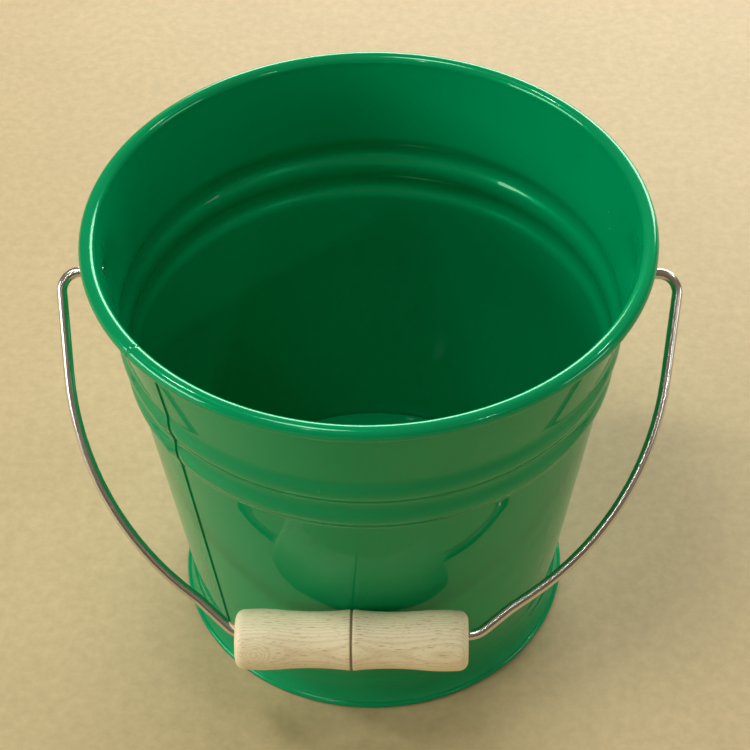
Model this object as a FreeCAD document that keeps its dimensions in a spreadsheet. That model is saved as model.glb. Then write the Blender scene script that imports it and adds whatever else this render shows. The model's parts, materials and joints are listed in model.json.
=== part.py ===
"""Small enamelled steel bucket with a swinging wire bail and a turned wooden grip.

The bucket stands on the ground plane, z = 0, with its axis on Z. The two ears that carry the
bail lie on X, and the bail hangs towards -Y, where its grip rests against the wall.
Every driving size is a cell of the sheet; sketches and primitives are bound to those cells.
"""
import FreeCAD, Part
import math
import os
import Sketcher

doc = FreeCAD.newDocument("bucket")

# ------------------------------------------------------------------ driving dimensions, in mm
SIZES = {
    # rolled rim and sheet
    "rim_radius": 105.0,
    "bucket_height": 188.5,
    "curl_radius": 3.0,
    "curl_lip": 1.5,
    "sheet_gauge": 0.6,
    "core_clearance": 0.02,
    # wall: a cone up to the neck, then a slightly steeper band up to the rim
    "neck_drop": 33.5,
    "neck_inset": 5.6,
    "ground_inset": 31.1,
    "wall_bottom": 3.5,
    "upper_bead_drop": 39.9,
    "lower_bead_drop": 55.0,
    "bead_half_height": 5.2,
    "bead_depth": 1.8,
    # lapped side seam
    "lap_step": 0.5,
    "lap_overlap": 0.2,
    "lap_angle": 4.6,
    "lap_azimuth": 216.9,
    # ears pressed outwards in the wall, pierced for the bail
    "ear_drop": 21.7,
    "ear_radius": 5.5,
    "ear_height": 3.6,
    "ear_hole_clearance": 0.35,
    # floor pan and foot ring
    "floor_height": 11.5,
    "pan_corner": 2.0,
    "foot_spread": 5.4,
    "collar_top": 15.0,
    "collar_bottom": 12.5,
    "hem_radius": 1.3,
    "hem_flat": 1.0,
    # bail wire; depths are measured from the pivot line towards the grip
    "wire_gauge": 4.0,
    "wire_tip_inset": 0.4,
    "leg_gap": 9.8,
    "ear_bend_radius": 7.0,
    "bow_inset": 9.5,
    "bow_rise": 44.7,
    "bow_radius": 115.0,
    "run_depth": 134.6,
    "run_right": 43.4,
    "run_left": 46.5,
    "kink_right_out": 12.0,
    "kink_right_rise": 10.0,
    "kink_left_out": 14.0,
    "kink_left_rise": 12.6,
    "kink_radius": 12.0,
    "run_bend_radius": 10.0,
    "bail_lean": -2.8,
    # turned grip
    "grip_length": 86.5,
    "grip_slide": -3.2,
    "grip_bulge_radius": 11.2,
    "grip_bulge_end": 15.5,
    "grip_crown_rise": 0.2,
    "grip_middle_rise": 0.15,
    "grip_waist_dip": 0.75,
    "grip_groove": 0.7,
    "grip_round": 3.6,
    "grip_end_drop": 2.8,
    "bore_clearance": 2.5,
    "bore_gap": 0.4,
    "mouth_depth": 1.5,
    "rest_gap": 0.3,
}

sheet = doc.addObject("Spreadsheet::Sheet", "Sizes")
for row, (alias, number) in enumerate(SIZES.items(), start=1):
    sheet.set(f"A{row}", alias.replace("_", " "))
    sheet.set(f"B{row}", str(number))
    sheet.setAlias(f"B{row}", alias)
doc.recompute()


# ------------------------------------------------------------------ sizes that keep their formula
class Size:
    """A number together with the sheet expression that works it out."""

    def __init__(self, number, text):
        self.number = float(number)
        self.text = text

    @staticmethod
    def of(value):
        return value if isinstance(value, Size) else Size(value, repr(float(value)))

    def __add__(self, other):
        other = Size.of(other)
        return Size(self.number + other.number, f"({self.text} + {other.text})")

    def __sub__(self, other):
        other = Size.of(other)
        return Size(self.number - other.number, f"({self.text} - {other.text})")

    def __mul__(self, other):
        other = Size.of(other)
        return Size(self.number * other.number, f"({self.text} * {other.text})")

    def __truediv__(self, other):
        other = Size.of(other)
        return Size(self.number / other.number, f"({self.text} / {other.text})")

    def __neg__(self):
        return Size(-self.number, f"(-1.0 * {self.text})")

    def root(self):
        return Size(math.sqrt(self.number), f"sqrt({self.text})")


def cell(alias):
    return Size(getattr(sheet, alias), f"Sizes.{alias}")


ZERO = Size(0, "0.0")
gauge = cell("sheet_gauge")
curl_radius = cell("curl_radius")
curl_inner = curl_radius - gauge
curl_centre = cell("rim_radius") - curl_radius
curl_height = cell("bucket_height") - curl_radius
wall_top = curl_centre - curl_inner
neck_height = curl_height - cell("neck_drop")
neck_radius = wall_top - cell("neck_inset")
ground_radius = cell("rim_radius") - cell("ground_inset")
taper = (neck_radius - ground_radius) / neck_height
slant = (taper * taper + 1).root()
neck_taper = cell("neck_inset") / cell("neck_drop")
pivot_height = curl_height - cell("ear_drop")
wire_radius = cell("wire_gauge") / 2
grip_middle_radius = cell("grip_bulge_radius") + cell("grip_middle_rise")
wire_offset = cell("bore_clearance") - cell("bore_gap")


def wall_outer(height):
    """Outside radius of the plain cone at a height."""
    return ground_radius + taper * height


def wall_inner(height):
    """Inside radius of the plain cone at a height; the sheet is measured square to it."""
    return wall_outer(height) - gauge * slant


def neck_outer(height):
    """Outside radius of the band between the neck and the rim."""
    return neck_radius + neck_taper * (height - neck_height)


def arc_over(chord, rise):
    """Radius of the arc that stands a given rise over its chord."""
    return (chord * chord / 4 + rise * rise) / (rise * 2)


# ------------------------------------------------------------------ sketch and feature helpers
def new_body(name):
    body = doc.addObject("PartDesign::Body", name)
    body.Label = name
    return body


def origin_plane(body, role):
    return next(f for f in body.Origin.OriginFeatures if f.Role == role)


def bind(thing, prop, size):
    thing.setExpression(prop, size.text)


def arc_through(start, end, radius, side):
    """The short arc from start to end that bulges to the left (side 1) or right (side -1)."""
    chord = end - start
    middle = (start + end) * 0.5
    left = FreeCAD.Vector(-chord.y, chord.x, 0).normalize()
    half = chord.Length / 2
    rise = radius - math.sqrt(max(radius * radius - half * half, 0.0))
    return Part.Arc(start, middle + left * (side * rise), end)


def outline(body, name, corners, arcs=None, turn=None):
    """A closed sketch on the body's XZ plane.

    corners are (x, z) pairs of Size. arcs maps a corner's number to the (radius, side) of the arc
    that runs from it to the next corner. turn swings the sketch about Z, in degrees.
    """
    arcs = arcs or {}
    sketch = body.newObject("Sketcher::SketchObject", name)
    sketch.AttachmentSupport = [(origin_plane(body, "XZ_Plane"), "")]
    sketch.MapMode = "FlatFace"
    points = [FreeCAD.Vector(x.number, z.number, 0) for x, z in corners]
    ends = []
    for i, start in enumerate(points):
        end = points[(i + 1) % len(points)]
        if i in arcs:
            radius, side = arcs[i]
            number = sketch.addGeometry(arc_through(start, end, radius.number, side))
            swapped = (sketch.getPoint(number, 1) - start).Length > 1e-6
            ends.append((number, 2, 1) if swapped else (number, 1, 2))
            fixed = sketch.addConstraint(Sketcher.Constraint("Radius", number, radius.number))
            bind(sketch, f"Constraints[{fixed}]", radius)
        else:
            number = sketch.addGeometry(Part.LineSegment(start, end))
            ends.append((number, 1, 2))
    for i, (number, first, last) in enumerate(ends):
        following, its_first, _ = ends[(i + 1) % len(ends)]
        sketch.addConstraint(
            Sketcher.Constraint("Coincident", number, last, following, its_first)
        )
        for kind, axis, size in (
            ("DistanceX", -2, corners[i][0]),
            ("DistanceY", -1, corners[i][1]),
        ):
            if size.number == 0:
                sketch.addConstraint(Sketcher.Constraint("PointOnObject", number, first, axis))
                continue
            fixed = sketch.addConstraint(
                Sketcher.Constraint(kind, number, first, size.number)
            )
            bind(sketch, f"Constraints[{fixed}]", size)
    if turn:
        bind(sketch, "AttachmentOffset.Rotation.Angle", turn)
        sketch.AttachmentOffset.Rotation.Axis = FreeCAD.Vector(0, 1, 0)
    doc.recompute()
    return sketch


def revolve(body, name, sketch, axis="V_Axis", angle=None, cut=False):
    kind = "PartDesign::Groove" if cut else "PartDesign::Revolution"
    feature = body.newObject(kind, name)
    feature.Profile = sketch
    feature.ReferenceAxis = (sketch, [axis])
    feature.Angle = 360
    if angle:
        bind(feature, "Angle", angle)
    doc.recompute()
    return feature


# ------------------------------------------------------------------ wall shell
def bead_radius():
    """Radius of the arc of a swaged bead on the outside of the sheet."""
    return arc_over(cell("bead_half_height") * slant * 2, cell("bead_depth"))


def inner_bead_half():
    """Half height of the same bead on the inside, where its arc is a sheet smaller."""
    depth = cell("bead_depth")
    return (depth * (bead_radius() * 2 - gauge * 2 - depth)).root() / slant


def wall_side(radius_at, bead_half, top_radius):
    """One side of the wall from the bottom edge up to the rim's centre height."""
    lower = curl_height - cell("lower_bead_drop")
    upper = curl_height - cell("upper_bead_drop")
    heights = [
        cell("wall_bottom"),
        lower - bead_half,
        lower + bead_half,
        upper - bead_half,
        upper + bead_half,
        neck_height,
    ]
    return [(radius_at(h), h) for h in heights] + [(top_radius, curl_height)]


def make_wall():
    body = new_body("wall_shell")
    closed_by_axis = [(ZERO, curl_height), (ZERO, cell("wall_bottom"))]
    bead = bead_radius()

    filled = wall_side(wall_outer, cell("bead_half_height"), wall_top)
    sketch = outline(
        body, "outside", filled + closed_by_axis, {1: (bead, -1), 3: (bead, -1)}
    )
    revolve(body, "outside_turn", sketch)

    # the ears are the caps of two spheres that stand out of the wall by ear_height
    ear_height = cell("ear_height")
    ball = arc_over(cell("ear_radius") * 2, ear_height)
    centre = neck_outer(pivot_height) + ear_height - ball
    for side, place in (("left", -centre), ("right", centre)):
        ear = body.newObject("PartDesign::AdditiveSphere", f"ear_{side}")
        bind(ear, "Radius", ball)
        bind(ear, "Placement.Base.x", place)
        bind(ear, "Placement.Base.z", pivot_height)
        doc.recompute()

    cavity = wall_side(wall_inner, inner_bead_half(), wall_top - gauge)
    sketch = outline(
        body,
        "inside",
        cavity + closed_by_axis,
        {1: (bead - gauge, -1), 3: (bead - gauge, -1)},
    )
    revolve(body, "inside_turn", sketch, cut=True)
    for side, place in (("left", -centre), ("right", centre)):
        hollow = body.newObject("PartDesign::SubtractiveSphere", f"ear_hollow_{side}")
        bind(hollow, "Radius", ball - gauge)
        bind(hollow, "Placement.Base.x", place)
        bind(hollow, "Placement.Base.z", pivot_height)
        doc.recompute()

    # the rim: the sheet rolled outwards three quarters of a turn, ending in a short lip
    lip_end = curl_centre - cell("curl_lip")
    curl = [
        (wall_top - gauge, curl_height),
        (curl_centre, curl_height + curl_radius),
        (curl_centre + curl_radius, curl_height),
        (curl_centre, curl_height - curl_radius),
        (lip_end, curl_height - curl_radius),
        (lip_end, curl_height - curl_inner),
        (curl_centre, curl_height - curl_inner),
        (curl_centre + curl_inner, curl_height),
        (curl_centre, curl_height + curl_inner),
        (wall_top, curl_height),
    ]
    turns = {i: (curl_radius, 1) for i in (0, 1, 2)}
    turns.update({i: (curl_inner, -1) for i in (6, 7, 8)})
    revolve(body, "rim_roll", outline(body, "rim", curl, turns))

    # the side seam: the upper sheet laps over the lower one from the collar to the neck
    low = cell("collar_top") + gauge
    lap = [
        (wall_outer(low) - cell("lap_overlap"), low),
        (wall_outer(low) + cell("lap_step"), low),
        (neck_radius + cell("lap_step"), neck_height),
        (wall_top + cell("lap_step"), curl_height - curl_radius - gauge),
        (neck_radius - cell("lap_overlap"), neck_height),
    ]
    sketch = outline(body, "lap", lap, turn=cell("lap_azimuth"))
    revolve(body, "lap_seam", sketch, angle=cell("lap_angle"))

    pierce = body.newObject("PartDesign::SubtractiveCylinder", "ear_holes")
    bind(pierce, "Radius", wire_radius + cell("ear_hole_clearance"))
    bind(pierce, "Height", cell("rim_radius") * 2)
    bind(pierce, "Placement.Base.x", -cell("rim_radius"))
    bind(pierce, "Placement.Base.z", pivot_height)
    pierce.Placement.Rotation = FreeCAD.Rotation(FreeCAD.Vector(0, 1, 0), 90)
    doc.recompute()
    return body


def make_rim_wire():
    """The core wire that the rim is rolled round."""
    ring = doc.addObject("Part::Torus", "rim_wire")
    bind(ring, "Radius1", curl_centre)
    bind(ring, "Radius2", curl_inner - cell("core_clearance"))
    bind(ring, "Placement.Base.z", curl_height)
    return ring


# ------------------------------------------------------------------ floor pan and foot ring
def make_floor():
    body = new_body("floor_pan")
    top = cell("floor_height")
    corner = cell("pan_corner")
    bottom = cell("wall_bottom")
    pan = [
        (ZERO, top - gauge),
        (wall_inner(top) - corner, top - gauge),
        (wall_inner(top - corner) - gauge, top - corner),
        (wall_inner(bottom) - gauge, bottom),
        (wall_inner(bottom), bottom),
        (wall_inner(top - corner), top - corner),
        (wall_inner(top) - corner, top),
        (ZERO, top),
    ]
    arcs = {1: (corner - gauge, 1), 5: (corner, -1)}
    revolve(body, "pan_turn", outline(body, "pan", pan, arcs))
    return body


def flare_radius(top, bottom):
    """Radius of the arc between two corners that leaves the wall's slope without a step."""
    out = bottom[0] - top[0]
    down = top[1] - bottom[1]
    stand_off = (out + taper * down) / slant
    return (out * out + down * down) / (stand_off * 2)


def make_foot():
    body = new_body("foot_ring")
    foot_radius = ground_radius + cell("foot_spread")
    collar_top = cell("collar_top")
    collar_bottom = cell("collar_bottom")
    hem = cell("hem_radius")
    hem_centre = foot_radius - hem
    hem_inner = hem_centre - cell("hem_flat")
    foot = [
        (wall_outer(collar_top), collar_top),
        (wall_outer(collar_bottom), collar_bottom),
        (hem_inner, hem * 2 - gauge),
        (hem_inner, ZERO),
        (hem_centre, ZERO),
        (foot_radius, hem),
        (hem_centre, hem * 2),
        (wall_outer(collar_bottom) + gauge, collar_bottom),
        (wall_outer(collar_top) + gauge, collar_top),
    ]
    arcs = {
        1: (flare_radius(foot[1], foot[2]), -1),
        4: (hem, -1),
        5: (hem, -1),
        6: (flare_radius(foot[7], foot[6]), 1),
    }
    revolve(body, "foot_turn", outline(body, "foot", foot, arcs))
    return body


# ------------------------------------------------------------------ bail wire
def rounded_path(corners, radii):
    """Straight runs between the corners, joined by tangent arcs of the given radii."""
    edges = []
    start = corners[0]
    for before, corner, after, radius in zip(corners, corners[1:], corners[2:], radii):
        back = (before - corner).normalize()
        ahead = (after - corner).normalize()
        half_angle = back.getAngle(ahead) / 2
        reach = radius / math.tan(half_angle)
        arc_start = corner + back * reach
        arc_end = corner + ahead * reach
        centre = corner + (back + ahead).normalize() * (radius / math.sin(half_angle))
        arc_middle = centre + (corner - centre).normalize() * radius
        edges.append(Part.LineSegment(start, arc_start).toShape())
        edges.append(Part.Arc(arc_start, arc_middle, arc_end).toShape())
        start = arc_end
    edges.append(Part.LineSegment(start, corners[-1]).toShape())
    return Part.Wire(edges)


def bail_side(sign, run, kink_out, kink_rise):
    """Corners of one side of the bail, from the ear down to the end of the straight run.

    The lean shifts each corner sideways in proportion to its depth, as in a wire bent by hand.
    """
    depth = sheet.run_depth
    leg = sheet.rim_radius + sheet.leg_gap
    tip = neck_outer(pivot_height).number + sheet.ear_height - sheet.sheet_gauge
    steps = [
        (tip - sheet.wire_tip_inset, 0.0),
        (leg, 0.0),
        (leg - sheet.bow_inset, depth - sheet.bow_rise),
        (run + kink_out, depth - kink_rise),
        (run, depth),
    ]
    return [
        FreeCAD.Vector(sign * x + sheet.bail_lean * down / depth, 0, -down)
        for x, down in steps
    ]


def make_bail(placement):
    left = bail_side(-1, sheet.run_left, sheet.kink_left_out, sheet.kink_left_rise)
    right = bail_side(1, sheet.run_right, sheet.kink_right_out, sheet.kink_right_rise)
    bends = [
        sheet.ear_bend_radius,
        sheet.bow_radius,
        sheet.kink_radius,
        sheet.run_bend_radius,
    ]
    path = rounded_path(left + right[::-1], bends + bends[::-1])
    section = Part.Wire(
        Part.Circle(left[0], FreeCAD.Vector(1, 0, 0), sheet.wire_gauge / 2).toShape()
    )
    wire = doc.addObject("Part::Feature", "bail_wire")
    wire.Shape = path.makePipeShell([section], True, False)
    wire.Placement = placement
    area = math.pi * (sheet.wire_gauge / 2) ** 2
    print("bail wire volume over section times length:", wire.Shape.Volume / (area * path.Length))
    return wire


# ------------------------------------------------------------------ wooden grip
def make_grip(placement):
    body = new_body("wood_grip")
    half = cell("grip_length") / 2
    bulge = cell("grip_bulge_radius")
    groove = cell("grip_groove")
    end_round = cell("grip_round")
    end_drop = cell("grip_end_drop")
    bore = wire_radius + cell("bore_clearance")
    bulge_start = half - cell("grip_bulge_end")
    right = [
        (groove, grip_middle_radius),
        (bulge_start, bulge),
        (half - end_round, bulge),
        (half, bulge - end_drop),
        (half, bore + cell("mouth_depth")),
        (half - cell("mouth_depth"), bore),
    ]
    left = [(-x, r) for x, r in reversed(right)]
    profile = [(ZERO, grip_middle_radius - groove)] + right + left

    waist = (arc_over(bulge_start - groove, cell("grip_waist_dip")), -1)
    crown = (arc_over(cell("grip_bulge_end") - end_round, cell("grip_crown_rise")), 1)
    rounding = ((end_round * end_round + end_drop * end_drop) / (end_drop * 2), 1)
    last = len(profile) - 1
    arcs = {
        1: waist,
        2: crown,
        3: rounding,
        last - 3: rounding,
        last - 2: crown,
        last - 1: waist,
    }
    sketch = outline(body, "turned", profile, arcs)
    revolve(body, "turning", sketch, axis="H_Axis")
    body.Placement = placement
    return body


# ------------------------------------------------------------------ hanging pose
def hang_angle():
    """Angle of the bail from straight down at which its grip rests against the wall."""
    reach = sheet.run_depth + wire_offset.number
    stand_off = grip_middle_radius.number + sheet.rest_gap
    wall = wall_outer(pivot_height).number / slant.number
    return math.asin((wall + stand_off) / reach) - math.atan(taper.number)


hang = hang_angle()
turn_down = FreeCAD.Rotation(FreeCAD.Vector(1, 0, 0), -math.degrees(hang))
pivot = FreeCAD.Vector(0, 0, pivot_height.number)
grip_centre = FreeCAD.Vector(
    sheet.bail_lean + sheet.grip_slide, 0, -(sheet.run_depth + wire_offset.number)
)

parts = [
    make_wall(),
    make_rim_wire(),
    make_floor(),
    make_foot(),
    make_bail(FreeCAD.Placement(pivot, turn_down)),
    make_grip(FreeCAD.Placement(pivot + turn_down.multVec(grip_centre), turn_down)),
]
doc.recompute()

# ------------------------------------------------------------------ checks and export
for item in doc.Objects:
    if "Invalid" in item.State or "Error" in item.State:
        raise RuntimeError(f"{item.Name} failed: {item.State}")
for part in parts:
    if part.Shape.isNull() or not part.Shape.isValid() or len(part.Shape.Solids) != 1:
        raise RuntimeError(f"{part.Label} is not one valid solid")

os.makedirs("parts", exist_ok=True)
for part in parts:
    part.Shape.exportStep(f"parts/{part.Label}.step")
    box = part.Shape.BoundBox
    print(
        f"{part.Label}: volume {part.Shape.Volume / 1000:.2f} cm3, "
        f"x {box.XMin:.1f}..{box.XMax:.1f}, y {box.YMin:.1f}..{box.YMax:.1f}, "
        f"z {box.ZMin:.1f}..{box.ZMax:.1f}"
    )
grip_point = parts[-1].Placement.Base
print(f"hang angle {math.degrees(hang):.3f} deg, pivot height {pivot.z:.3f}")
print(f"grip centre {grip_point.x:.3f}, {grip_point.y:.3f}, {grip_point.z:.3f}")
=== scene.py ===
"""Green enamelled bucket with a wire bail and a turned beech grip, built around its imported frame."""
import json
import math

import bmesh
import bpy
from mathutils import Matrix, Vector


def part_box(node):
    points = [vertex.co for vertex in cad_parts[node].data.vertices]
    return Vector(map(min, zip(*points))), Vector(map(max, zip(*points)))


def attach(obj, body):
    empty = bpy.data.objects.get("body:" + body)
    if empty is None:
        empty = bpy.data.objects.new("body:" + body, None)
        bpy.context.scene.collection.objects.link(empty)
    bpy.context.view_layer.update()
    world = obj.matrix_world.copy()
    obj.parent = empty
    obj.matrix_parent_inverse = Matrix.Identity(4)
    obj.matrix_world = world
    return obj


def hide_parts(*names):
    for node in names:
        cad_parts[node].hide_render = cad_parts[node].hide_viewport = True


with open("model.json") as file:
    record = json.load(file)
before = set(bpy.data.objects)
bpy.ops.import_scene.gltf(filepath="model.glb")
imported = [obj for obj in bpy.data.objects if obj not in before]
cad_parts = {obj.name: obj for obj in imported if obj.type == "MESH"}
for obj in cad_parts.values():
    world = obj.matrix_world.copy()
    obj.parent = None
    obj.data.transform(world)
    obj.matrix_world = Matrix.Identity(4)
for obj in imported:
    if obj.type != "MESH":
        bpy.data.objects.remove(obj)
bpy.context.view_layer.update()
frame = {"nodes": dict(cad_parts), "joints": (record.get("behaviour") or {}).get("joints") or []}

bl_info = {
    "name": "Florist bucket",
    "version": (1, 0, 0),
    "blender": (4, 5, 0),
    "location": "3D View > Sidebar > Bucket",
    "description": "Rolled-rim enamelled bucket with a swinging bail and a turned wooden grip",
    "category": "Add Mesh",
}

MM = 0.001
wall_low, wall_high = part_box("wall_shell")
_, foot_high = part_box("foot_ring")
_, pan_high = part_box("floor_pan")
joints = {joint["name"]: joint for joint in frame["joints"]}
PIVOT = Vector(joints["bail_swing"]["pos_m"])
GRIP = Vector(joints["grip_turn"]["pos_m"])


# ---------------------------------------------------------------- sizes and colours
def length(name, description, millimetres):
    """A length property with its default given in millimetres."""
    return bpy.props.FloatProperty(
        name=name,
        description=description,
        default=millimetres * MM,
        unit="LENGTH",
        subtype="DISTANCE",
        precision=5,
    )


def colour(name, description, hex_code):
    """A colour property with its default given as an sRGB hex code."""
    return bpy.props.FloatVectorProperty(
        name=name,
        description=description,
        default=linear(hex_code)[:3],
        size=3,
        min=0.0,
        max=1.0,
        subtype="COLOR",
    )


def linear(hex_code):
    """Linear RGBA of an sRGB hex code."""
    def channel(value):
        return value / 12.92 if value <= 0.04045 else ((value + 0.055) / 1.055) ** 2.4

    return tuple(channel(int(hex_code[i:i + 2], 16) / 255) for i in (0, 2, 4)) + (1.0,)


class BucketSizes(bpy.types.PropertyGroup):
    """Sizes of the sheet metal: wall, rim, beads, seam, ears, floor and foot."""

    gauge: length("Sheet gauge", "Thickness of the enamelled sheet", 0.6)
    curl_radius: length("Rim roll", "Outside radius of the rolled rim", 3.0)
    curl_lip: length("Rim lip", "How far the roll's end reaches back to the wall", 1.5)
    neck_drop: length("Neck drop", "From the rim roll's centre down to the neck", 33.5)
    neck_inset: length("Neck inset", "How much narrower the neck is than the rim", 5.6)
    ground_inset: length("Taper", "Rim radius less the wall cone's radius at the ground", 31.1)
    upper_bead: length("Upper bead drop", "From the rim roll's centre to the upper bead", 39.9)
    lower_bead: length("Lower bead drop", "From the rim roll's centre to the lower bead", 55.0)
    bead_half: length("Bead half height", "Half the height of a swaged bead", 5.2)
    bead_depth: length("Bead depth", "How far a bead stands out of the wall", 1.8)
    bead_blend: length("Bead blend", "Radius of the soft bend at each edge of a bead", 7.6)
    lap_step: length("Lap step", "Height of the side seam's upper sheet at its edge", 0.45)
    ear_radius: length("Ear radius", "Radius of the dome pressed round the bail's end", 6.6)
    ear_height: length("Ear height", "How far the dome stands out of the wall", 3.6)
    swell_radius: length("Ear swell radius", "Reach of the stretched sheet round the dome", 17.5)
    swell_height: length("Ear swell height", "Part of the ear's height that the swell takes", 2.6)
    ear_hole: length("Ear hole radius", "Radius of the hole that the bail's end turns in", 2.35)
    pan_corner: length("Floor corner", "Outside radius of the floor pan's corner", 2.0)
    collar_top: length("Foot collar top", "Height of the foot ring's upper edge", 15.0)
    collar_bottom: length("Foot collar bottom", "Height at which the foot starts to flare", 12.5)
    hem_radius: length("Foot hem radius", "Radius of the rolled hem of the foot", 1.3)
    hem_flat: length("Foot hem flat", "Width of the flat that the bucket stands on", 1.0)


class BailSizes(bpy.types.PropertyGroup):
    """Sizes of the bail wire and its wooden grip."""

    wire_radius: length("Wire radius", "Half the gauge of the bail wire", 2.0)
    tip_inset: length("Tip inset", "How far the wire's end stands inside the ear", 0.4)
    leg_gap: length("Leg gap", "From the rim to the top of the bail's leg", 9.78)
    run_depth: length("Run depth", "From the pivot line down to the straight run", 134.6)
    lean: length("Lean", "Sideways shift of the run in the hand-bent bail", -2.8)
    grip_length: length("Grip length", "Length of the turned grip", 86.5)
    grip_bulge: length("Grip bulge", "Radius of the grip's two bulges", 11.19)
    grip_middle: length("Grip middle", "Radius of the grip beside its centre groove", 11.34)
    grip_waist: length("Grip waist", "Depth of the hollow between bulge and groove", 0.75)
    grip_groove: length("Grip groove", "Depth and half width of the centre groove", 0.7)
    bulge_length: length("Grip bulge length", "From the grip's end to its bulge's start", 15.5)
    bulge_crown: length("Grip bulge crown", "How far the bulge's middle swells", 0.2)
    grip_round: length("Grip end rounding", "Length over which the grip's end is rounded", 3.6)
    grip_drop: length("Grip end drop", "How much smaller the grip's end face is", 2.8)
    bore: length("Grip bore", "Radius of the hole through the grip", 4.5)
    mouth: length("Bore mouth", "Size of the chamfer at each end of the bore", 1.5)


class BucketColours(bpy.types.PropertyGroup):
    """Colours of the finishes."""

    enamel: colour("Enamel", "Stoved green enamel", "009D5F")
    beech: colour("Beech", "Pale sapwood between the flecks", "FFEBC2")
    beech_fleck: colour("Beech fleck", "Rays cut through on the turned face", "C08E50")
    wire: colour("Wire", "Bright drawn steel", "DAD7CE")
    board: colour("Board", "Pale board that the bucket stands on", "CBB585")


# ---------------------------------------------------------------- mesh helpers
class Pen:
    """Draws a chain of edges in the XZ plane with the extrude and spin operators."""

    def __init__(self, bm, x, z):
        self.bm = bm
        self.first = self.tip = bmesh.ops.create_vert(bm, co=(x, 0, z))["vert"][0]

    def line(self, x, z, pieces=1):
        start = self.tip.co.copy()
        end = Vector((x, 0, z))
        for step in range(1, pieces + 1):
            made = bmesh.ops.extrude_vert_indiv(self.bm, verts=[self.tip])
            self.tip = made["verts"][0]
            self.tip.co = start.lerp(end, step / pieces)

    def arc(self, x, z, degrees, steps):
        """Turns the tip about (x, z); a positive angle turns it from X towards Z."""
        made = bmesh.ops.spin(
            self.bm,
            geom=[self.tip],
            cent=(x, 0, z),
            axis=(0, -1, 0),
            angle=math.radians(degrees),
            steps=steps,
        )
        self.tip = made["geom_last"][0]

    def bulge(self, x, z, radius, side, steps):
        """An arc to (x, z) that bulges to the left (side 1) or right (side -1) of its way."""
        start = self.tip.co.copy()
        end = Vector((x, 0, z))
        chord = end - start
        left = Vector((-chord.z, 0, chord.x)).normalized()
        away = math.sqrt(radius ** 2 - chord.length_squared / 4)
        centre = (start + end) / 2 - left * side * away
        angle = 2 * math.degrees(math.asin(chord.length / 2 / radius))
        self.arc(centre.x, centre.z, -side * angle, steps)

    def close(self):
        self.bm.edges.new((self.tip, self.first))


MERGE_DISTANCE = 0.002 * MM


def turn(bm, steps, axis=(0, 0, 1)):
    """Spins everything drawn so far a full turn and closes it on itself."""
    bmesh.ops.spin(
        bm,
        geom=bm.verts[:] + bm.edges[:],
        cent=(0, 0, 0),
        axis=axis,
        angle=math.tau,
        steps=steps,
        use_merge=True,
    )
    bmesh.ops.remove_doubles(bm, verts=bm.verts[:], dist=MERGE_DISTANCE)
    bmesh.ops.recalc_face_normals(bm, faces=bm.faces[:])


def blend_corners(bm, points, reach, segments):
    """Rounds the drawn chain's corners that lie at the given (x, z) points."""
    chosen = [
        v for v in bm.verts
        if any((v.co - Vector((x, 0, z))).length < 0.01 * MM for x, z in points)
    ]
    bmesh.ops.bevel(
        bm,
        geom=chosen,
        offset=reach,
        segments=segments,
        affect="VERTICES",
        profile=0.5,
        material=-1,
    )


def piece(name, bm, material, body, node, sharp=40.0):
    """Makes a smooth-shaded object of a bmesh and ties it to the frame."""
    for face in bm.faces:
        face.smooth = True
    limit = math.radians(sharp)
    for edge in bm.edges:
        edge.smooth = edge.is_manifold and edge.calc_face_angle() < limit
    mesh = bpy.data.meshes.new(name)
    bm.to_mesh(mesh)
    bm.free()
    mesh.materials.append(material)
    made = bpy.data.objects.new(name, mesh)
    bpy.context.scene.collection.objects.link(made)
    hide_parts(node)
    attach(made, body)
    return made


# ---------------------------------------------------------------- the wall's outline
class Wall:
    """Radii of the wall at any height, worked out from the sizes."""

    def __init__(self, s):
        self.s = s
        self.rim = min(wall_high.x, wall_high.y)
        self.curl_x = self.rim - s.curl_radius
        self.curl_z = wall_high.z - s.curl_radius
        self.curl_inner = s.curl_radius - s.gauge
        self.top = self.curl_x - self.curl_inner
        self.neck_z = self.curl_z - s.neck_drop
        self.neck = self.top - s.neck_inset
        self.ground = self.rim - s.ground_inset
        self.taper = (self.neck - self.ground) / self.neck_z
        self.slant = math.hypot(1.0, self.taper)
        self.bottom = wall_low.z

    def outer(self, z):
        return self.ground + self.taper * z

    def inner(self, z):
        return self.outer(z) - self.s.gauge * self.slant

    def plain(self, z):
        """Outside radius without the beads, in the neck band too."""
        above = max(0.0, z - self.neck_z)
        return self.outer(min(z, self.neck_z)) + self.s.neck_inset / self.s.neck_drop * above


def arc_over(chord, rise):
    """Radius of the arc that stands a given rise over its chord."""
    return (chord * chord / 4 + rise * rise) / (rise * 2)


# ---------------------------------------------------------------- materials
def add(owner, kind, inputs=None, **settings):
    """Adds one node to a material or world, sets its properties, and fills or links the sockets
    named in inputs."""
    tree = owner.node_tree
    made = tree.nodes.new(kind)
    for key, value in settings.items():
        setattr(made, key, value)
    for key, value in (inputs or {}).items():
        if isinstance(value, bpy.types.NodeSocket):
            tree.links.new(value, made.inputs[key])
        else:
            made.inputs[key].default_value = value
    return made


def new_material(name):
    """An empty node material and its object-space coordinate socket."""
    material = bpy.data.materials.new(name)
    material.use_nodes = True
    material.node_tree.nodes.clear()
    where = add(material, "ShaderNodeTexCoord").outputs["Object"]
    return material, where


def surface(material, inputs):
    """Ends a material in a Principled shader with the given sockets."""
    shader = add(material, "ShaderNodeBsdfPrincipled", inputs)
    add(material, "ShaderNodeOutputMaterial", {"Surface": shader.outputs["BSDF"]})
    return material


def per_mm(millimetres):
    """Texture scale that gives features of a size in millimetres."""
    return 1.0 / (millimetres * MM)


def rgba(value):
    return (*value, 1.0)


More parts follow.
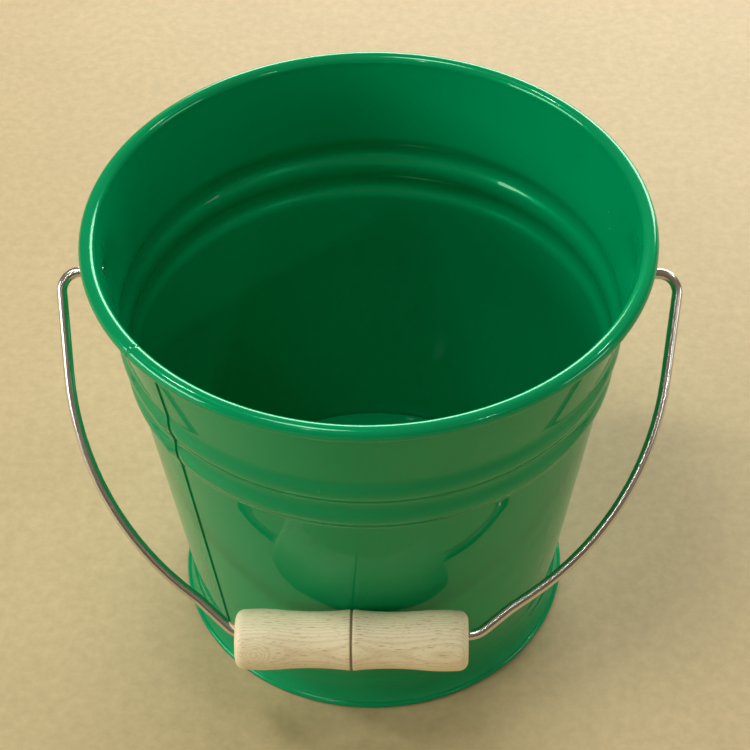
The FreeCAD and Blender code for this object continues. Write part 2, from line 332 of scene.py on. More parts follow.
def shade(value, factor):
    """A colour made darker or lighter by a factor."""
    return (*(min(channel * factor, 1.0) for channel in value), 1.0)


def stoved_enamel(value):
    """Stoved enamel on steel: a very deep, even green under a glassy skin, with a faint orange
    peel of about 2 mm that makes reflections shimmer and a few pale specks of dust. The clear
    coat gives the white glints. The base has no gloss of its own and is slightly metallic,
    which keeps the inside of the bucket dark."""
    material, where = new_material("stoved_green_enamel")
    drift = add(material, "ShaderNodeTexNoise", {
        "Vector": where, "Scale": per_mm(45), "Detail": 2.0})
    tone = add(material, "ShaderNodeMix", {
        "Factor": drift.outputs["Fac"], 6: shade(value, 0.94), 7: shade(value, 1.06)},
        data_type="RGBA")
    cells = add(material, "ShaderNodeTexVoronoi", {
        "Vector": where, "Scale": per_mm(7), "Randomness": 1.0})
    near = add(material, "ShaderNodeMapRange", {
        "Value": cells.outputs["Distance"], "From Min": 0.02, "From Max": 0.045,
        "To Min": 0.5, "To Max": 0.0})
    keep = add(material, "ShaderNodeSeparateColor", {"Color": cells.outputs["Color"]})
    some = add(material, "ShaderNodeMath", {0: keep.outputs["Red"], 1: 0.72},
               operation="GREATER_THAN")
    speck = add(material, "ShaderNodeMath", {
        0: near.outputs["Result"], 1: some.outputs["Value"]}, operation="MULTIPLY")
    dusty = add(material, "ShaderNodeMix", {
        "Factor": speck.outputs["Value"], 6: tone.outputs[2], 7: linear("9CC8A4")},
        data_type="RGBA")
    peel = add(material, "ShaderNodeTexNoise", {
        "Vector": where, "Scale": per_mm(2.2), "Detail": 1.0})
    sheet = add(material, "ShaderNodeTexNoise", {
        "Vector": where, "Scale": per_mm(38), "Detail": 1.0})
    waves = add(material, "ShaderNodeBump", {
        "Height": sheet.outputs["Fac"], "Distance": 0.25 * MM, "Strength": 0.5})
    bump = add(material, "ShaderNodeBump", {
        "Height": peel.outputs["Fac"], "Distance": 0.004 * MM, "Strength": 0.5,
        "Normal": waves.outputs["Normal"]})
    gloss = add(material, "ShaderNodeMapRange", {
        "Value": drift.outputs["Fac"], "To Min": 0.20, "To Max": 0.28})
    return surface(material, {
        "Base Color": dusty.outputs[2],
        "Roughness": gloss.outputs["Result"],
        "Metallic": 0.15,
        "Specular IOR Level": 0.0,
        "Coat Weight": 0.75,
        "Coat IOR": 1.42,
        "Coat Roughness": 0.03,
        "Normal": bump.outputs["Normal"],
    })


def drawn_wire(value):
    """Bright steel wire drawn through a die: fine marks run along it, so highlights stretch
    along the wire and break up across it."""
    material, _ = new_material("bright_drawn_steel")
    strand = add(material, "ShaderNodeAttribute", attribute_name="strand")
    along = add(material, "ShaderNodeMapping", {
        "Vector": strand.outputs["Vector"], "Scale": (0.02, 1.0, 1.0)})
    marks = add(material, "ShaderNodeTexNoise", {
        "Vector": along.outputs["Vector"], "Scale": per_mm(0.35), "Detail": 3.0})
    smudge = add(material, "ShaderNodeTexNoise", {
        "Vector": strand.outputs["Vector"], "Scale": per_mm(9), "Detail": 3.0})
    tone = add(material, "ShaderNodeMix", {
        "Factor": smudge.outputs["Fac"], 6: shade(value, 0.85), 7: shade(value, 1.12)},
        data_type="RGBA")
    gloss = add(material, "ShaderNodeMapRange", {
        "Value": marks.outputs["Fac"], "From Min": 0.3, "From Max": 0.7,
        "To Min": 0.16, "To Max": 0.28})
    bump = add(material, "ShaderNodeBump", {
        "Height": marks.outputs["Fac"], "Distance": 0.006 * MM, "Strength": 0.4})
    return surface(material, {
        "Base Color": tone.outputs[2],
        "Metallic": 1.0,
        "Roughness": gloss.outputs["Result"],
        "Normal": bump.outputs["Normal"],
    })


# The knot's place from the grip's middle, and how far it pushes the growth layers aside.
KNOT = (-36 * MM, -9.5 * MM, 3.5 * MM)
KNOT_REACH = 7 * MM
KNOT_SWIRL = 3.2 * MM
# The turn that lays the growth layers level, their spacing, and a wave texture's period at
# scale 1.
LAYER_TILT = math.radians(-65)
LAYER_MM = 0.85
WAVE_PERIOD = 0.314
# Two sizes of ray fleck: spacing in mm, how much it is stretched along the grain, how far the
# dark part reaches into the spacing, and its strength.
RAY_FLECKS = ((0.55, 0.16, 0.30, 0.55), (1.1, 0.12, 0.22, 0.8))


def turned_beech(value, fleck):
    """Steamed beech turned and sealed: flat growth layers that the turned curves cut into long
    ovals, a small knot near one end, short dark ray flecks along the grain, painted shade
    darkening the centre groove, and a thin satin seal."""
    material, where = new_material("turned_beech")
    place = add(material, "ShaderNodeMapping", {"Vector": where, "Location": tuple(-GRIP)})
    to_knot = add(material, "ShaderNodeVectorMath", {0: place.outputs["Vector"], 1: KNOT},
                  operation="DISTANCE")
    swirl = add(material, "ShaderNodeMapRange", {
        "Value": to_knot.outputs["Value"], "From Max": KNOT_REACH, "To Min": KNOT_SWIRL,
        "To Max": 0.0},
        interpolation_type="SMOOTHSTEP")
    sawn = add(material, "ShaderNodeMapping", {
        "Vector": place.outputs["Vector"], "Rotation": (LAYER_TILT, 0, 0)})
    parts = add(material, "ShaderNodeSeparateXYZ", {0: sawn.outputs["Vector"]})
    depth = add(material, "ShaderNodeMath", {
        0: parts.outputs["Z"], 1: swirl.outputs["Result"]}, operation="ADD")
    bowed = add(material, "ShaderNodeCombineXYZ", {
        "X": parts.outputs["X"], "Y": parts.outputs["Y"], "Z": depth.outputs["Value"]})
    grain = add(material, "ShaderNodeMapping", {
        "Vector": bowed.outputs["Vector"], "Scale": (0.22, 1.0, 1.0)})
    layers = add(material, "ShaderNodeTexWave", {
        "Vector": grain.outputs["Vector"], "Scale": per_mm(LAYER_MM) * WAVE_PERIOD,
        "Distortion": 2.2, "Detail": 2.0, "Detail Scale": 0.6}, bands_direction="Z")
    clouds = add(material, "ShaderNodeTexNoise", {
        "Vector": grain.outputs["Vector"], "Scale": per_mm(4), "Detail": 4.0})
    tone = add(material, "ShaderNodeMix", {
        "Factor": clouds.outputs["Fac"], 6: shade(value, 0.93), 7: shade(value, 1.14)},
        data_type="RGBA")
    late = add(material, "ShaderNodeMapRange", {
        "Value": layers.outputs["Fac"], "From Min": 0.45, "To Min": 0.0, "To Max": 0.20})
    ringed = add(material, "ShaderNodeMix", {
        "Factor": late.outputs["Result"], 6: tone.outputs[2], 7: rgba(fleck)},
        data_type="RGBA")
    last = ringed
    for spacing, stretch, reach, strength in RAY_FLECKS:
        fine = add(material, "ShaderNodeMapping", {
            "Vector": place.outputs["Vector"], "Scale": (stretch, 1.0, 1.0)})
        rays = add(material, "ShaderNodeTexVoronoi", {
            "Vector": fine.outputs["Vector"], "Scale": per_mm(spacing), "Randomness": 1.0})
        dash = add(material, "ShaderNodeMapRange", {
            "Value": rays.outputs["Distance"], "From Min": 0.06, "From Max": reach,
            "To Min": strength, "To Max": 0.0})
        last = add(material, "ShaderNodeMix", {
            "Factor": dash.outputs["Result"], 6: last.outputs[2], 7: rgba(fleck)},
            data_type="RGBA")
    # Painted shade: the centre groove is darkened towards a deep fleck colour, standing in for shade
    # in the recess.
    off_middle = add(material, "ShaderNodeMath", {0: parts.outputs["X"]}, operation="ABSOLUTE")
    groove = add(material, "ShaderNodeMapRange", {
        "Value": off_middle.outputs["Value"], "From Min": 0.35 * MM, "From Max": 0.75 * MM,
        "To Min": 0.75, "To Max": 0.0})
    groove_painted_shade = add(material, "ShaderNodeMix", {
        "Factor": groove.outputs["Result"], 6: last.outputs[2], 7: shade(fleck, 0.3)},
        data_type="RGBA")
    bump = add(material, "ShaderNodeBump", {
        "Height": layers.outputs["Fac"], "Distance": 0.05 * MM, "Strength": 0.3})
    return surface(material, {
        "Base Color": groove_painted_shade.outputs[2],
        "Roughness": 0.45,
        "Normal": bump.outputs["Normal"],
    })


def plain_steel():
    """Plain drawn core wire, dull and slightly oily where the rim's lip lets it show."""
    material, where = new_material("plain_core_steel")
    smudge = add(material, "ShaderNodeTexNoise", {
        "Vector": where, "Scale": per_mm(6), "Detail": 3.0})
    tone = add(material, "ShaderNodeMix", {
        "Factor": smudge.outputs["Fac"], 6: linear("6E6C68"), 7: linear("8C8A85")},
        data_type="RGBA")
    return surface(material, {
        "Base Color": tone.outputs[2],
        "Metallic": 1.0,
        "Roughness": 0.45,
    })


def pale_board(value):
    """Pressed pale board: a fine felted mottle with soft broad patches, nearly matt."""
    material, where = new_material("pale_pressed_board")
    patches = add(material, "ShaderNodeTexNoise", {
        "Vector": where, "Scale": per_mm(60), "Detail": 3.0})
    mottle = add(material, "ShaderNodeTexNoise", {
        "Vector": where, "Scale": per_mm(5), "Detail": 6.0, "Roughness": 0.65})
    tone = add(material, "ShaderNodeMix", {
        "Factor": patches.outputs["Fac"], 6: shade(value, 0.93), 7: shade(value, 1.07)},
        data_type="RGBA")
    spots = add(material, "ShaderNodeMapRange", {
        "Value": mottle.outputs["Fac"], "From Min": 0.3, "From Max": 0.7,
        "To Min": 0.9, "To Max": 1.08})
    mixed = add(material, "ShaderNodeVectorMath", {
        0: tone.outputs[2], "Scale": spots.outputs["Result"]}, operation="SCALE")
    bump = add(material, "ShaderNodeBump", {
        "Height": mottle.outputs["Fac"], "Distance": 0.15 * MM, "Strength": 0.3})
    return surface(material, {
        "Base Color": mixed.outputs["Vector"],
        "Roughness": 0.55,
        "Normal": bump.outputs["Normal"],
    })


def finish(name):
    """The named finish, made on first use."""
    c = bpy.context.scene.bucket_colours
    makers = {
        "stoved_green_enamel": lambda: stoved_enamel(c.enamel),
        "bright_drawn_steel": lambda: drawn_wire(c.wire),
        "turned_beech": lambda: turned_beech(c.beech, c.beech_fleck),
        "plain_core_steel": plain_steel,
        "pale_pressed_board": lambda: pale_board(c.board),
    }
    return bpy.data.materials.get(name) or makers[name]()


# ---------------------------------------------------------------- wall, rim, seam and ears
SPIN_STEPS = 288
WALL_PIECES = 24  # edges drawn along the straight wall below the beads
NECK_PIECES = 18  # edges drawn along the neck band, where the ears are pressed

# The side seam. Angles are in degrees round the bucket, from X towards Y.
LAP_AZIMUTH = 221.5  # where the upper sheet ends
LAP_FADE = 14.0  # how far back the upper sheet's rise reaches
LAP_EDGE = 0.05  # width of the step down at its edge
LAP_STIFF = 3.5  # how far either way the doubled sheet resists the beads
BEAD_FLATTENED = 0.55  # how much of a bead's height it takes away
LAP_GROOVE = 0.2  # width of the shallow groove beside the step
LAP_CUTS = (0.0, 0.12, 0.3)  # cuts that give the groove its shape
GROOVE_DEPTH = 0.4  # as a share of the step's height
LAP_CLEARANCE = 0.3 * MM  # left plain below the rim roll and above the foot's collar

# The nick where the rim roll's two ends meet: its place, and the half widths of its floor and
# its mouth, in degrees.
RIM_JOINT = 219.2
JOINT_FLOOR = 0.1
JOINT_MOUTH = 0.34
JOINT_DEPTH = 0.35 * MM

EAR_MARGIN = 1.5 * MM  # how far beyond an ear's dome the mesh is made finer


def bead_circles(wall, drop):
    """Centres of the three arcs of one bead, and the angle that each half of it turns."""
    s = wall.s
    radius = arc_over(2 * s.bead_half * wall.slant, s.bead_depth)
    blend = s.bead_blend
    up = Vector((wall.taper, 0, 1)) / wall.slant
    out = Vector((up.z, 0, -up.x))
    z = wall.curl_z - drop
    foot = Vector((wall.outer(z), 0, z))
    rise = radius - s.bead_depth + blend
    reach = math.sqrt((radius + blend) ** 2 - rise ** 2)
    half = math.degrees(math.atan2(reach, rise))
    bump = foot - out * (radius - s.bead_depth)
    low, high = (foot + up * side * reach + out * blend for side in (-1, 1))
    return low, bump, high, half, out


def draw_side(pen, wall, sheet, up):
    """Draws one side of the wall over both beads, upwards, or downwards on the inside.
    sheet is how far this side lies behind the outer one."""
    s = wall.s
    drops = (s.lower_bead, s.upper_bead)
    for drop in drops if up else drops[::-1]:
        low, bump, high, half, out = bead_circles(wall, drop)
        first, last = (low, high) if up else (high, low)
        start = first - out * (s.bead_blend + sheet)
        pieces = {
            (True, s.lower_bead): WALL_PIECES,
            (False, s.upper_bead): NECK_PIECES,
        }.get((up, drop), 1)
        way = 1 if up else -1
        pen.line(start.x, start.z, pieces)
        pen.arc(first.x, first.z, -way * half, 5)
        pen.arc(bump.x, bump.z, 2 * way * half, 14)
        pen.arc(last.x, last.z, -way * half, 5)


def make_wall(s):
    wall = Wall(s)
    bm = bmesh.new()
    pen = Pen(bm, wall.outer(wall.bottom), wall.bottom)
    draw_side(pen, wall, 0.0, up=True)
    pen.line(wall.top, wall.curl_z, NECK_PIECES)
    pen.arc(wall.curl_x, wall.curl_z, -270, 27)
    lip_x = wall.curl_x - s.curl_lip
    pen.line(lip_x, wall.curl_z - wall.curl_inner)
    pen.line(lip_x, wall.curl_z - s.curl_radius)
    pen.line(wall.curl_x, wall.curl_z - s.curl_radius)
    pen.arc(wall.curl_x, wall.curl_z, 270, 36)
    draw_side(pen, wall, s.gauge, up=False)
    pen.line(wall.inner(wall.bottom), wall.bottom, WALL_PIECES)
    pen.close()
    turn(bm, SPIN_STEPS)
    press_seam(bm, wall)
    notch_rim(bm, wall)
    press_ears(bm, wall)
    bmesh.ops.recalc_face_normals(bm, faces=bm.faces[:])
    return piece(
        "wall_shell_enamelled", bm, finish("stoved_green_enamel"),
        "bucket", "wall_shell",
    )


def azimuth(co):
    return math.degrees(math.atan2(co.y, co.x)) % 360


def push(v, lift):
    """Moves a vertex away from the bucket's axis."""
    scale = 1 + lift / math.hypot(v.co.x, v.co.y)
    v.co.x *= scale
    v.co.y *= scale


def cut_columns(bm, azimuths):
    """Cuts the mesh with upright half planes through the axis."""
    for degrees in azimuths:
        a = math.radians(degrees)
        faces = [f for f in bm.faces if abs(azimuth(f.calc_center_median()) - degrees) < 3]
        near = {e for f in faces for e in f.edges} | {v for f in faces for v in f.verts}
        bmesh.ops.bisect_plane(
            bm,
            geom=faces + list(near),
            dist=0.0001 * MM,
            plane_co=(0, 0, 0),
            plane_no=(-math.sin(a), math.cos(a), 0),
        )
    bm.normal_update()


def press_seam(bm, wall):
    """Cuts the side seam's edge into the wall and lifts the sheet that laps over on its left.
    The doubled sheet resists the beads, so they are flatter there."""
    s = wall.s
    groove = [LAP_AZIMUTH + LAP_EDGE + step for step in LAP_CUTS]
    cut_columns(bm, [LAP_AZIMUTH] + groove)
    top = wall.curl_z - s.curl_radius - LAP_CLEARANCE
    low = s.collar_top + LAP_CLEARANCE
    for v in bm.verts:
        past = azimuth(v.co) - (LAP_AZIMUTH + LAP_EDGE / 2)
        if not (abs(past) < LAP_FADE and low < v.co.z < top):
            continue
        outward = v.normal.x * v.co.x + v.normal.y * v.co.y > 0
        plain = wall.plain(v.co.z) - (0 if outward else s.gauge * wall.slant)
        stand = math.hypot(v.co.x, v.co.y) - plain
        if abs(past) < LAP_STIFF:
            ease = (1 + math.cos(math.pi * past / LAP_STIFF)) / 2
            push(v, -stand * BEAD_FLATTENED * ease)
        if outward and past < 0:
            push(v, s.lap_step * (1 + math.cos(math.pi * past / LAP_FADE)) / 2)
        elif outward and past < LAP_EDGE + LAP_GROOVE:
            push(v, -s.lap_step * GROOVE_DEPTH)


def notch_rim(bm, wall):
    """Nicks the rim where the two ends of the rolled sheet meet."""
    steps = (-JOINT_MOUTH, -JOINT_FLOOR, JOINT_FLOOR, JOINT_MOUTH)
    cut_columns(bm, [RIM_JOINT + step for step in steps])
    for v in bm.verts:
        across = Vector((math.hypot(v.co.x, v.co.y) - wall.curl_x, v.co.z - wall.curl_z))
        in_joint = abs(azimuth(v.co) - RIM_JOINT) < 2 * JOINT_FLOOR
        outside = across.length > wall.s.curl_radius - 0.1 * MM and across.y > -1 * MM
        if in_joint and outside:
            push(v, -across.normalized().x * JOINT_DEPTH)
            v.co.z -= across.normalized().y * JOINT_DEPTH


def off_axis(co):
    """Distance from the line that the bail turns about."""
    return math.hypot(co.y, co.z - PIVOT.z)


def hump(away, radius):
    """Height of a soft round swelling, from 1 in its middle to 0 at its radius."""
    return max(0.0, 1 - (away / radius) ** 2) ** 2


def press_ears(bm, wall):
    """Presses a dome outwards round each end of the bail and pierces it."""
    s = wall.s
    dome = s.ear_height - s.swell_height
    for side in (-1, 1):
        patch = [
            f for f in bm.faces
            if f.calc_center_median().x * side > 0
            and off_axis(f.calc_center_median()) < s.ear_radius + EAR_MARGIN
        ]
        edges = {e for f in patch for e in f.edges}
        bmesh.ops.subdivide_edges(bm, edges=list(edges), cuts=3, use_grid_fill=True)
        for v in bm.verts:
            away = off_axis(v.co)
            if v.co.x * side > 0 and away < s.swell_radius:
                v.co.x += side * (
                    s.swell_height * hump(away, s.swell_radius)
                    + dome * hump(away, s.ear_radius)
                )
        gone = [
            f for f in bm.faces
            if f.calc_center_median().x * side > 0
            and off_axis(f.calc_center_median()) < s.ear_hole
        ]
        bmesh.ops.delete(bm, geom=gone, context="FACES")
        rim = [e for e in bm.edges if e.is_boundary]
        for v in {v for e in rim for v in e.verts}:
            scale = s.ear_hole / off_axis(v.co)
            v.co.y *= scale
            v.co.z = PIVOT.z + (v.co.z - PIVOT.z) * scale
        bmesh.ops.bridge_loops(bm, edges=rim)


class BUCKET_OT_wall(bpy.types.Operator):
    """Spins the wall with its rolled rim and beads, then presses the seam and the ears"""

    bl_idname = "bucket.wall"
    bl_label = "Wall"

    def execute(self, context):
        make_wall(context.scene.bucket_sizes)
        return {"FINISHED"}


# ---------------------------------------------------------------- floor pan and foot ring
class BUCKET_OT_floor(bpy.types.Operator):
    """Spins the floor pan with its turned-down skirt"""

    bl_idname = "bucket.floor"
    bl_label = "Floor pan"

    def execute(self, context):
        s = context.scene.bucket_sizes
        wall = Wall(s)
        top = pan_high.z
        corner = s.pan_corner
        bm = bmesh.new()
        pen = Pen(bm, 0, top - s.gauge)
        pen.line(wall.inner(top) - corner, top - s.gauge, 12)
        pen.bulge(wall.inner(top - corner) - s.gauge, top - corner, corner - s.gauge, 1, 6)
        pen.line(wall.inner(wall.bottom) - s.gauge, wall.bottom, 3)
        pen.line(wall.inner(wall.bottom), wall.bottom)
        pen.line(wall.inner(top - corner), top - corner, 3)
        pen.bulge(wall.inner(top) - corner, top, corner, -1, 6)
        pen.line(0, top, 12)
        turn(bm, SPIN_STEPS // 2)
        piece(
            "floor_pan_enamelled", bm, finish("stoved_green_enamel"),
            "bucket", "floor_pan",
        )
        return {"FINISHED"}


class BUCKET_OT_foot(bpy.types.Operator):
    """Spins the flared foot ring with its rolled hem"""

    bl_idname = "bucket.foot"
    bl_label = "Foot ring"

    def execute(self, context):
        s = context.scene.bucket_sizes
        wall = Wall(s)
        radius = foot_high.x
        hem = s.hem_radius
        hem_centre = radius - hem
        hem_inner = hem_centre - s.hem_flat
        low, high = s.collar_bottom, s.collar_top

        def flare(x, z, top_x):
            """Radius of the arc to (x, z) that leaves the cone at top_x in the cone's direction."""
            out, down = x - top_x, low - z
            return (out ** 2 + down ** 2) / (2 * (out + wall.taper * down) / wall.slant)

        bm = bmesh.new()
        inner_foot = (hem_inner, 2 * hem - s.gauge)
        pen = Pen(bm, wall.outer(high), high)
        pen.line(wall.outer(low), low, 2)
        pen.bulge(*inner_foot, flare(*inner_foot, wall.outer(low)), -1, 10)
        pen.line(hem_inner, 0, 2)
        pen.line(hem_centre, 0, 2)
        pen.arc(hem_centre, hem, 180, 20)
        top_x = wall.outer(low) + s.gauge
        pen.bulge(top_x, low, flare(hem_centre, 2 * hem, top_x), 1, 14)
        pen.line(wall.outer(high + 2 * MM), high + 2 * MM, 5)
        pen.close()
        blend_corners(bm, [(top_x, low)], 1.5 * MM, 4)
        blend_corners(bm, [(hem_inner, 0)], 0.25 * MM, 3)
        turn(bm, SPIN_STEPS)
        piece(
            "foot_ring_enamelled", bm, finish("stoved_green_enamel"),
            "bucket", "foot_ring",
        )
        return {"FINISHED"}


# ---------------------------------------------------------------- bail and grip
# Corners of the bail in its own plane, in mm: how far out and how far down from the pivot line,
# then the radius of the bend there. Its two sides differ a little.
# The first two are measured out from the leg, the others from the middle.
LEG_BENDS = [((0.0, 0.0), 7.0), ((-9.5, 89.9), 115.0)]
LEFT_BENDS = LEG_BENDS + [((60.5, 122.0), 12.0), ((46.5, 134.6), 10.0)]
RIGHT_BENDS = LEG_BENDS + [((55.4, 124.6), 12.0), ((43.4, 134.6), 10.0)]
WIRE_SIDES = 28
BEND_STEP = 3  # degrees
RUN_STEP = 4 * MM
TIP_ROUNDING = 0.5 * MM


def bail_corners(b, side, bends):
    """Corners and bend radii of one side of the bail, from the ear to the straight run."""
    leg = wall_high.x + b.leg_gap
    tip = tip_reach(b)
    found = [(Vector((side * tip, 0, 0)), None)]
    for number, ((out, down), radius) in enumerate(bends):
        x = (leg if number < len(LEG_BENDS) else 0.0) + out * MM
        lean = b.lean * down * MM / b.run_depth
        found.append((Vector((side * x + lean, 0, -down * MM)), radius * MM))
    return found


def tip_reach(b):
    """Where the wire's end stops, inside the sheet of the ear."""
    s = bpy.context.scene.bucket_sizes
    wall = Wall(s)
    slope = s.neck_inset / s.neck_drop
    face = wall.neck + slope * (PIVOT.z - wall.neck_z)
    return face + s.ear_height - s.gauge - b.tip_inset


def hang_matrix():
    """Swings a piece drawn in the bail's own plane to where the bail hangs at rest."""
    reach = GRIP - PIVOT
    angle = math.atan2(-reach.y, -reach.z)
    return Matrix.Translation(PIVOT) @ Matrix.Rotation(-angle, 4, "X")


class Strand:
    """A wire grown ring by ring, which records its length and section at each vertex."""

    def __init__(self, bm, start, way, radius):
        self.bm = bm
        self.mark = bm.verts.layers.float_vector.new("strand")
        made = bmesh.ops.create_circle(bm, segments=WIRE_SIDES, radius=radius)
        self.flats = {v: (v.co.x, v.co.y) for v in made["verts"]}
        place = Matrix.Translation(start) @ way.to_track_quat("Z", "Y").to_matrix().to_4x4()
        bmesh.ops.transform(bm, matrix=place, verts=made["verts"])
        self.ring = list({e for v in made["verts"] for e in v.link_edges})
        self.done = 0.0
        self.at = start.copy()
        self.note()

    def note(self):
        """Writes the length so far and the place in the section on the last ring."""
        for v, (a, b) in self.flats.items():
            v[self.mark] = (self.done, a, b)

    def advance(self, matrix, distance):
        """Grows one more ring and moves it by the matrix."""
        made = bmesh.ops.extrude_edge_only(self.bm, edges=self.ring)["geom"]
        verts = [g for g in made if isinstance(g, bmesh.types.BMVert)]
        old = {v.co.to_tuple(7): flat for v, flat in self.flats.items()}
        self.flats = {v: old[v.co.to_tuple(7)] for v in verts}
        fresh = set(verts)
        self.ring = [
            g for g in made
            if isinstance(g, bmesh.types.BMEdge) and g.verts[0] in fresh and g.verts[1] in fresh
        ]
        bmesh.ops.transform(self.bm, matrix=matrix, verts=verts)
        self.at = matrix @ self.at
        self.done += distance
        self.note()

    def run(self, end, steps):
        step = (end - self.at) / steps
        for _ in range(steps):
            self.advance(Matrix.Translation(step), step.length)

    def bend(self, centre, axis, angle, steps):
        radius = (self.at - centre).length
        part = Matrix.Rotation(angle / steps, 4, axis)
        matrix = Matrix.Translation(centre) @ part @ Matrix.Translation(-centre)
        for _ in range(steps):
            self.advance(matrix, radius * angle / steps)


class BUCKET_OT_bail(bpy.types.Operator):
    """Bends the bail wire from ear to ear, with its ends rounded"""

    bl_idname = "bucket.bail"
    bl_label = "Bail wire"

    def execute(self, context):
        b = context.scene.bail_sizes
        corners = bail_corners(b, -1, LEFT_BENDS) + bail_corners(b, 1, RIGHT_BENDS)[::-1]
        points = [point for point, _ in corners]
        bm = bmesh.new()
        strand = Strand(bm, points[0], points[1] - points[0], b.wire_radius)
        bmesh.ops.contextual_create(bm, geom=strand.ring)
        for (before, corner, after), radius in zip(
            zip(points, points[1:], points[2:]), [r for _, r in corners[1:-1]]
        ):
            back = (before - corner).normalized()
            ahead = (after - corner).normalized()
            half = back.angle(ahead) / 2
            start = corner + back * radius / math.tan(half)
            centre = corner + (back + ahead).normalized() * radius / math.sin(half)
            turn_angle = math.pi - 2 * half
            axis = (-back).cross(ahead).normalized()
            steps = max(6, round(math.degrees(turn_angle) / BEND_STEP))
            strand.run(start, max(2, round((start - strand.at).length / RUN_STEP)))
            strand.bend(centre, axis, turn_angle, steps)
        strand.run(points[-1], 5)
        bmesh.ops.contextual_create(bm, geom=strand.ring)
        bmesh.ops.recalc_face_normals(bm, faces=bm.faces[:])
        ends = [f for f in bm.faces if len(f.verts) > 4]
        bmesh.ops.bevel(
            bm,
            geom=[e for f in ends for e in f.edges],
            offset=TIP_ROUNDING,
            segments=3,
            affect="EDGES",
            profile=0.5,
            material=-1,
        )
        bmesh.ops.transform(bm, matrix=hang_matrix(), verts=bm.verts[:])
        piece(
            "bail_wire_drawn", bm, finish("bright_drawn_steel"),
            "bail", "bail_wire",
        )
        return {"FINISHED"}


class BUCKET_OT_grip(bpy.types.Operator):
    """Turns the wooden grip with its waists, centre groove and bore"""

    bl_idname = "bucket.grip"
    bl_label = "Wooden grip"

    def execute(self, context):
        b = context.scene.bail_sizes
        half = b.grip_length / 2
        bulge_start = half - b.bulge_length
        end_x, end_r = half, b.grip_bulge - b.grip_drop
        waist = arc_over(bulge_start - b.grip_groove, b.grip_waist)
        crown = arc_over(half - b.grip_round - bulge_start, b.bulge_crown)
        rounding = (b.grip_round ** 2 + b.grip_drop ** 2) / (2 * b.grip_drop)
        bm = bmesh.new()
        pen = Pen(bm, 0, b.grip_middle - b.grip_groove)
        pen.line(b.grip_groove, b.grip_middle)
        pen.bulge(bulge_start, b.grip_bulge, waist, -1, 14)
        pen.bulge(half - b.grip_round, b.grip_bulge, crown, 1, 6)
        pen.bulge(end_x, end_r, rounding, 1, 8)
        pen.line(half, b.bore + b.mouth)
        pen.line(half - b.mouth, b.bore)
        pen.line(0, b.bore, 6)
        blend_corners(
            bm, [(b.grip_groove, b.grip_middle), (half, b.bore + b.mouth)], 0.2 * MM, 2)
        bmesh.ops.mirror(
            bm,
            geom=bm.verts[:] + bm.edges[:],
            matrix=Matrix.Identity(4),
            merge_dist=0.001 * MM,
            axis="X",
        )
        turn(bm, 96, axis=(1, 0, 0))
        place = hang_matrix()
        place.translation = GRIP
        bmesh.ops.transform(bm, matrix=place, verts=bm.verts[:])
        piece(
            "grip_turned", bm, finish("turned_beech"), "grip", "wood_grip",
            sharp=30.0,
        )
        return {"FINISHED"}


class BUCKET_OT_rim_wire(bpy.types.Operator):
    """Gives the core wire inside the rolled rim its steel finish"""

    bl_idname = "bucket.rim_wire"
    bl_label = "Rim core wire"

    def execute(self, context):
        node = frame["nodes"]["rim_wire"]
        node.data.materials.clear()
        node.data.materials.append(finish("plain_core_steel"))
        return {"FINISHED"}


# ---------------------------------------------------------------- stage
# The room's colour, and its brightness at the horizon and overhead.
ROOM = "FFEBCB"
HORIZON = 0.11
ZENITH = 0.20
LIGHT_DISTANCE = 2.5
LIGHT_TARGET = (0, 0, 0.1)
BOARD_HALF = 4  # metres
CAMERA_PLACE = (0.016583, -0.559782, 0.675975)
CAMERA_TURN, CAMERA_TILT, CAMERA_ROLL = (math.radians(a) for a in (1.538, 44.69, -0.855))
CAMERA_LENS = 98.19
# Soft lights round the object: degrees to the right of straight behind it, degrees up, width
# and height in metres, and brightness.
SOFT_LIGHTS = [
    ("window_back", 14, 17, 2.6, 1.0, 9.0),
    ("window_left", -105, 18, 1.5, 0.7, 9.0),
    ("window_right", 100, 12, 0.9, 0.5, 4.0),
    ("lamp_upper_left", -75, 58, 0.16, 0.3, 60.0),
    ("lamp_right", 72, 45, 0.3, 0.07, 60.0),
    ("lamp_front_right", 138, 28, 0.25, 0.07, 44.0),
    ("lamp_front_left", -155, 50, 0.14, 0.1, 44.0),
    ("lamp_overhead", -125, 76, 0.7, 0.5, 12.0),
]


def soft_light(name, right, up, width, height, brightness):
    """A rectangular light that faces the object from a direction given in degrees."""
    data = bpy.data.lights.new(name, "AREA")
    data.shape = "RECTANGLE"
    data.size = width
    data.size_y = height
    data.energy = math.pi * width * height * brightness
    lamp = bpy.data.objects.new(name, data)
    turned = Matrix.Rotation(math.radians(-right), 4, "Z")
    raised = Matrix.Rotation(math.radians(90 + up), 4, "X")
    lamp.matrix_world = (
        Matrix.Translation(LIGHT_TARGET) @ turned @ raised
        @ Matrix.Rotation(math.pi, 4, "Y") @ Matrix.Translation((0, 0, LIGHT_DISTANCE))
    )
    bpy.context.scene.collection.objects.link(lamp)


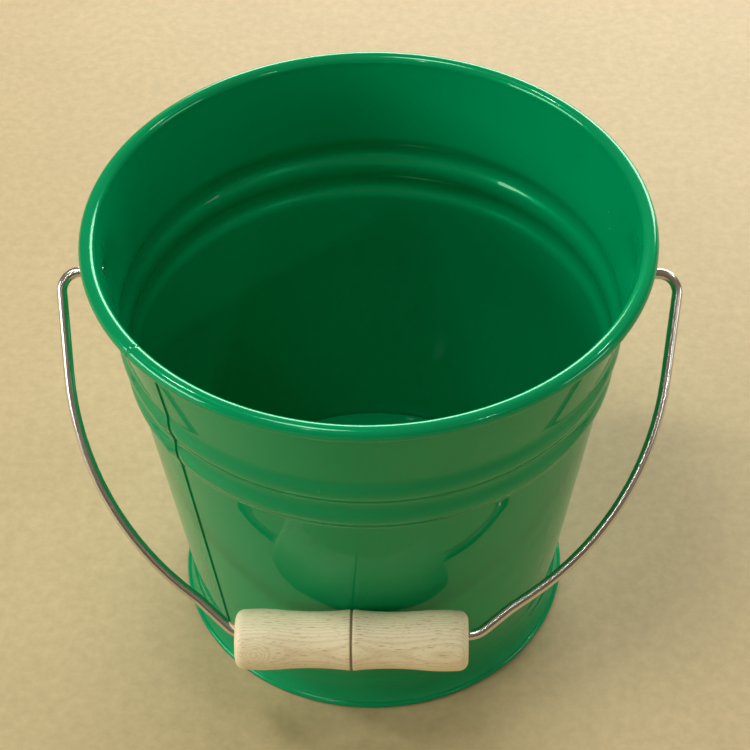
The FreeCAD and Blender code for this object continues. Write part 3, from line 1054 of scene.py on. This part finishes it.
class BUCKET_OT_stage(bpy.types.Operator):
    """Lays the board and sets up the soft light and the camera"""

    bl_idname = "bucket.stage"
    bl_label = "Stage"

    def execute(self, context):
        scene = context.scene
        bm = bmesh.new()
        bmesh.ops.create_grid(bm, x_segments=8, y_segments=8, size=BOARD_HALF)
        mesh = bpy.data.meshes.new("board")
        bm.to_mesh(mesh)
        bm.free()
        mesh.materials.append(finish("pale_pressed_board"))
        board = bpy.data.objects.new("board", mesh)
        scene.collection.objects.link(board)

        world = bpy.data.worlds.new("soft_room")
        world.use_nodes = True
        way = add(world, "ShaderNodeTexCoord")
        split = add(world, "ShaderNodeSeparateXYZ", {0: way.outputs["Generated"]})
        height = add(world, "ShaderNodeMapRange", {
            "Value": split.outputs["Z"], "From Min": 0.05, "From Max": 0.95,
            "To Min": HORIZON, "To Max": ZENITH})
        background = world.node_tree.nodes["Background"]
        background.inputs["Color"].default_value = linear(ROOM)
        world.node_tree.links.new(height.outputs["Result"], background.inputs["Strength"])
        scene.world = world
        for light in SOFT_LIGHTS:
            soft_light(*light)

        data = bpy.data.cameras.new("camera")
        data.sensor_width = 36.0
        data.lens = CAMERA_LENS
        data.clip_start = 0.01
        camera = bpy.data.objects.new("camera", data)
        camera.matrix_world = (
            Matrix.Translation(CAMERA_PLACE)
            @ Matrix.Rotation(CAMERA_TURN, 4, "Z")
            @ Matrix.Rotation(CAMERA_TILT, 4, "X")
            @ Matrix.Rotation(CAMERA_ROLL, 4, "Z")
        )
        scene.collection.objects.link(camera)
        scene.camera = camera
        scene.view_settings.view_transform = "Standard"
        return {"FINISHED"}


class BUCKET_PT_panel(bpy.types.Panel):
    """Lists the sizes, the colours and the steps that build the bucket"""

    bl_label = "Florist bucket"
    bl_idname = "BUCKET_PT_panel"
    bl_space_type = "VIEW_3D"
    bl_region_type = "UI"
    bl_category = "Bucket"

    def draw(self, context):
        for name in ("bucket_sizes", "bail_sizes", "bucket_colours"):
            group = getattr(context.scene, name)
            for key in group.bl_rna.properties.keys():
                if key not in ("rna_type", "name"):
                    self.layout.prop(group, key)
        for operator in STEPS:
            self.layout.operator(operator.bl_idname)


GROUPS = {
    "bucket_sizes": BucketSizes,
    "bail_sizes": BailSizes,
    "bucket_colours": BucketColours,
}
STEPS = [
    BUCKET_OT_wall,
    BUCKET_OT_floor,
    BUCKET_OT_foot,
    BUCKET_OT_rim_wire,
    BUCKET_OT_bail,
    BUCKET_OT_grip,
    BUCKET_OT_stage,
]


def register():
    for name, group in GROUPS.items():
        bpy.utils.register_class(group)
        setattr(bpy.types.Scene, name, bpy.props.PointerProperty(type=group))
    for operator in STEPS:
        bpy.utils.register_class(operator)
    bpy.utils.register_class(BUCKET_PT_panel)


def unregister():
    bpy.utils.unregister_class(BUCKET_PT_panel)
    for operator in reversed(STEPS):
        bpy.utils.unregister_class(operator)
    for name, group in GROUPS.items():
        delattr(bpy.types.Scene, name)
        bpy.utils.unregister_class(group)


def main():
    register()
    bpy.ops.bucket.wall()
    bpy.ops.bucket.floor()
    bpy.ops.bucket.foot()
    bpy.ops.bucket.rim_wire()
    bpy.ops.bucket.bail()
    bpy.ops.bucket.grip()
    bpy.ops.bucket.stage()


if __name__ == "__main__":
    main()
